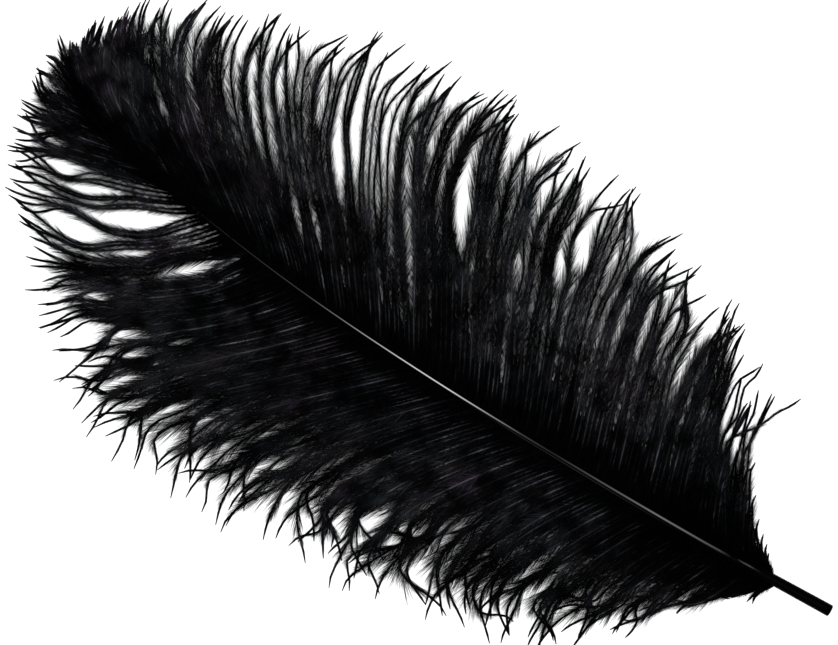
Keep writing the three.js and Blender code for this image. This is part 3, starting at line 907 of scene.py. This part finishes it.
def horn_material(look):
    """Dyed horn, mixed towards a pale colour by the points' tone: a painted highlight along the
    shaft.
    """
    material, nodes, links, base = new_material("dyed_horn", look.horn_roughness, look.horn_shine)
    # Mixes the dark horn towards the pale colour of the painted highlight.
    painted_highlight = nodes.new("ShaderNodeMix")
    painted_highlight.data_type = "RGBA"
    painted_highlight.inputs["A"].default_value = (*look.horn_color, 1)
    painted_highlight.inputs["B"].default_value = (*look.bare_horn, 1)
    links.new(tone_of(nodes), painted_highlight.inputs["Factor"])
    links.new(painted_highlight.outputs["Result"], base)
    return material


def barb_material(look):
    """Soft patches of near-black colours, times smaller patches of light and dark, times the
    points' tone."""
    material, nodes, links, base = new_material("dyed_barbs", look.barb_roughness, look.barb_shine)
    tints = (look.barb_purple, look.barb_color, look.barb_blue)
    colour = patches(nodes, links, TINT_SCALE, tuple(zip(TINT_STOPS, tints)))
    cloud = patches(nodes, links, CLOUD_SCALE, CLOUDS)
    clouded = nodes.new("ShaderNodeVectorMath")
    clouded.operation = "MULTIPLY"
    links.new(colour, clouded.inputs[0])
    links.new(cloud, clouded.inputs[1])
    shade = nodes.new("ShaderNodeVectorMath")
    shade.operation = "SCALE"
    links.new(clouded.outputs["Vector"], shade.inputs[0])
    links.new(tone_of(nodes), shade.inputs["Scale"])
    links.new(shade.outputs["Vector"], base)
    return material


def floor_material():
    """Dull white."""
    material, _, _, base = new_material("white_floor", FLOOR_ROUGHNESS, 0.0)
    base.default_value = (FLOOR_WHITE, FLOOR_WHITE, FLOOR_WHITE, 1)
    return material


# ---- settings

class PlumeShape(bpy.types.PropertyGroup):
    """Sizes of the plume's fine parts"""

    barbs_per_side: IntProperty(
        name="Barbs per side", description="Barbs along each side of the shaft",
        default=162, min=20, max=200)
    barb_width: FloatProperty(
        name="Barb width", description="Width of a barb where it leaves the shaft",
        default=0.62 * MM, min=0.1 * MM, max=MM, precision=5, unit="LENGTH")
    mat_width: FloatProperty(
        name="Mat width",
        description="Width over which barbule roots are packed close by the shaft",
        default=3.6 * MM, min=0.1 * MM, max=6 * MM, precision=5, unit="LENGTH")
    barbule_length: FloatProperty(
        name="Barbule length", description="Length of the longer barbules, further out",
        default=10.5 * MM, min=0.5 * MM, max=15 * MM, precision=5, unit="LENGTH")
    barbule_width: FloatProperty(
        name="Barbule width", description="Width of an outer barbule at its root",
        default=0.053 * MM, min=0.03 * MM, max=0.5 * MM, precision=5, unit="LENGTH")
    barbules_per_mm: FloatProperty(
        name="Barbules per millimetre",
        description="Barbules along each side of a barb, in one millimetre",
        default=5.0, min=1.0, max=8.0)
    needle_length: FloatProperty(
        name="Needle length", description="Length of the barb's end that bears no barbules",
        default=5.6 * MM, min=MM, max=30 * MM, precision=4, unit="LENGTH")
    tone_spread: FloatProperty(
        name="Tone spread", description="How unlike in brightness the barbs are",
        default=1.2, min=0, max=2)
    left_unrest: FloatProperty(
        name="Left unrest", description="How far the ends of the left vane's barbs stray",
        default=1.0, min=0.0, max=3.0, subtype="FACTOR")
    right_unrest: FloatProperty(
        name="Right unrest", description="How far the ends of the right vane's barbs stray",
        default=1.0, min=0.0, max=3.0, subtype="FACTOR")
    shaft_rings: IntProperty(
        name="Shaft rings", description="Rings of points along the shaft",
        default=150, min=20, max=400)
    shaft_sides: IntProperty(
        name="Shaft sides", description="Points round the shaft", default=32, min=8, max=64)


class PlumeLook(bpy.types.PropertyGroup):
    """Colours and finishes of the plume"""

    horn_color: FloatVectorProperty(
        name="Horn", description="Colour of the shaft",
        subtype="COLOR", size=3, min=0, max=1, default=(0.0004, 0.0004, 0.0005))
    # Pale colour of the painted highlight along the shaft.
    bare_horn: FloatVectorProperty(
        name="Horn highlight", description="Colour of the painted highlight along the shaft",
        subtype="COLOR", size=3, min=0, max=1, default=(0.8, 0.79, 0.77))
    horn_roughness: FloatProperty(
        name="Horn roughness", description="Roughness of the shaft",
        default=0.4, min=0, max=1, subtype="FACTOR")
    horn_shine: FloatProperty(
        name="Horn shine", description="Strength of the shaft's reflections",
        default=0.01, min=0, max=1, subtype="FACTOR")
    barb_color: FloatVectorProperty(
        name="Barbs", description="Main colour of the barbs",
        subtype="COLOR", size=3, min=0, max=1, default=(0.0055, 0.0056, 0.0064))
    barb_blue: FloatVectorProperty(
        name="Blue tint", description="Colour of the barbs' bluish patches",
        subtype="COLOR", size=3, min=0, max=1, default=(0.0050, 0.0060, 0.0072))
    barb_purple: FloatVectorProperty(
        name="Purple tint", description="Colour of the barbs' purplish patches",
        subtype="COLOR", size=3, min=0, max=1, default=(0.0062, 0.0053, 0.0073))
    barb_roughness: FloatProperty(
        name="Barb roughness", description="Roughness of the barbs",
        default=0.6, min=0, max=1, subtype="FACTOR")
    barb_shine: FloatProperty(
        name="Barb shine", description="Strength of the barbs' reflections",
        default=0.01, min=0, max=1, subtype="FACTOR")


class PlumeStage(bpy.types.PropertyGroup):
    """Floor, light and camera"""

    sky_strength: FloatProperty(
        name="Sky", description="Strength of the even white light", default=0.12, min=0, max=10)
    lamp_power: FloatProperty(
        name="Lamp", description="Power of the overhead lamp",
        default=118.0, min=0, max=1000, unit="POWER")
    lamp_size: FloatProperty(
        name="Lamp size", description="Side of the overhead lamp",
        default=0.3, min=0.01, max=5, unit="LENGTH")
    camera_height: FloatProperty(
        name="Camera height", description="Height of the camera over the ground",
        default=2.4, min=0.3, max=20, unit="LENGTH")


# ---- operators

class PLUME_OT_shaft(bpy.types.Operator):
    """Build the shaft with its bore and its furrow"""

    bl_idname = "plume.shaft"
    bl_label = "Build Shaft"

    def execute(self, context):
        shape, look = context.scene.plume_shape, context.scene.plume_look
        shaft = build_shaft(shape.shaft_rings, shape.shaft_sides, horn_material(look))
        belongs(shaft, "shaft")
        return {"FINISHED"}


class PLUME_OT_barbs(bpy.types.Operator):
    """Build the barbs and barbules of both vanes"""

    bl_idname = "plume.barbs"
    bl_label = "Build Barbs"

    def execute(self, context):
        shape, look = context.scene.plume_shape, context.scene.plume_look
        material = barb_material(look)
        for vane, node in ((LEFT, "left_vane"), (RIGHT, "right_vane")):
            names = [f"{vane.name}_barbs_{part}" for part in ("base", "middle", "tip")]
            for piece in build_vane(vane, names, shape, material):
                belongs(piece, node)
        return {"FINISHED"}


class PLUME_OT_stage(bpy.types.Operator):
    """Build the pale floor, the light and the camera"""

    bl_idname = "plume.stage"
    bl_label = "Build Stage"

    def execute(self, context):
        stage, scene = context.scene.plume_stage, context.scene
        corners = FLOOR_REACH * np.array([[-1, -1, 0], [1, -1, 0], [1, 1, 0], [-1, 1, 0]])
        floor = put_mesh(
            "floor", corners, np.array([[0, 1, 2], [0, 2, 3]]), floor_material(), False)

        world = bpy.data.worlds.new("white_sky")
        world.use_nodes = True
        sky = world.node_tree.nodes["Background"]
        sky.inputs["Color"].default_value = (1, 1, 1, 1)
        sky.inputs["Strength"].default_value = stage.sky_strength
        scene.world = world
        scene.view_settings.view_transform = "Standard"

        aim = Vector(to_row(np.array([*CAMERA_AIM, 0.0])))
        turn = np.radians(CAMERA_TURN)
        right = Vector((-np.cos(turn), -np.sin(turn), 0))
        up = Vector((np.sin(turn), -np.cos(turn), 0))
        basis = Matrix((right, up, right.cross(up))).transposed()

        lens = bpy.data.cameras.new("camera")
        lens.sensor_width = SENSOR_WIDTH
        lens.lens = SENSOR_WIDTH * (stage.camera_height - VIEW_HEIGHT) / VIEW_WIDTH
        lens.clip_end = VIEW_DEPTH
        camera = bpy.data.objects.new("camera", lens)
        camera.matrix_world = Matrix.Translation(
            Vector((aim.x, aim.y, stage.camera_height))) @ basis.to_4x4()
        scene.collection.objects.link(camera)
        scene.camera = camera

        light = bpy.data.lights.new("overhead", "AREA")
        light.shape = "SQUARE"
        light.size = stage.lamp_size
        light.energy = stage.lamp_power
        lamp = bpy.data.objects.new("overhead", light)
        raised = Vector((0, 0, LAMP_HEIGHT))
        lamp.matrix_world = (Matrix.Translation(aim + raised)
                             @ raised.to_track_quat("Z", "Y").to_matrix().to_4x4())
        scene.collection.objects.link(lamp)
        return {"FINISHED"}


class PLUME_PT_panel(bpy.types.Panel):
    """Plume settings and steps"""

    bl_idname = "PLUME_PT_panel"
    bl_label = "Ostrich Plume"
    bl_space_type = "VIEW_3D"
    bl_region_type = "UI"
    bl_category = "Plume"

    def draw(self, context):
        for group, settings in GROUPS.items():
            box = self.layout.box()
            for name in settings.__annotations__:
                box.prop(getattr(context.scene, group), name)
        for operator in (PLUME_OT_shaft, PLUME_OT_barbs, PLUME_OT_stage):
            self.layout.operator(operator.bl_idname)


GROUPS = {"plume_shape": PlumeShape, "plume_look": PlumeLook, "plume_stage": PlumeStage}
CLASSES = (*GROUPS.values(), PLUME_OT_shaft, PLUME_OT_barbs, PLUME_OT_stage, PLUME_PT_panel)


def register():
    """Make the classes and the scene's settings known."""
    for cls in CLASSES:
        bpy.utils.register_class(cls)
    for name, group in GROUPS.items():
        setattr(bpy.types.Scene, name, PointerProperty(type=group))


def unregister():
    """Take away what register() made known."""
    for name in GROUPS:
        delattr(bpy.types.Scene, name)
    for cls in reversed(CLASSES):
        bpy.utils.unregister_class(cls)


def main():
    """Build everything in order."""
    register()
    for step in (bpy.ops.plume.shaft, bpy.ops.plume.barbs, bpy.ops.plume.stage):
        step()


if __name__ == "__main__":
    main()
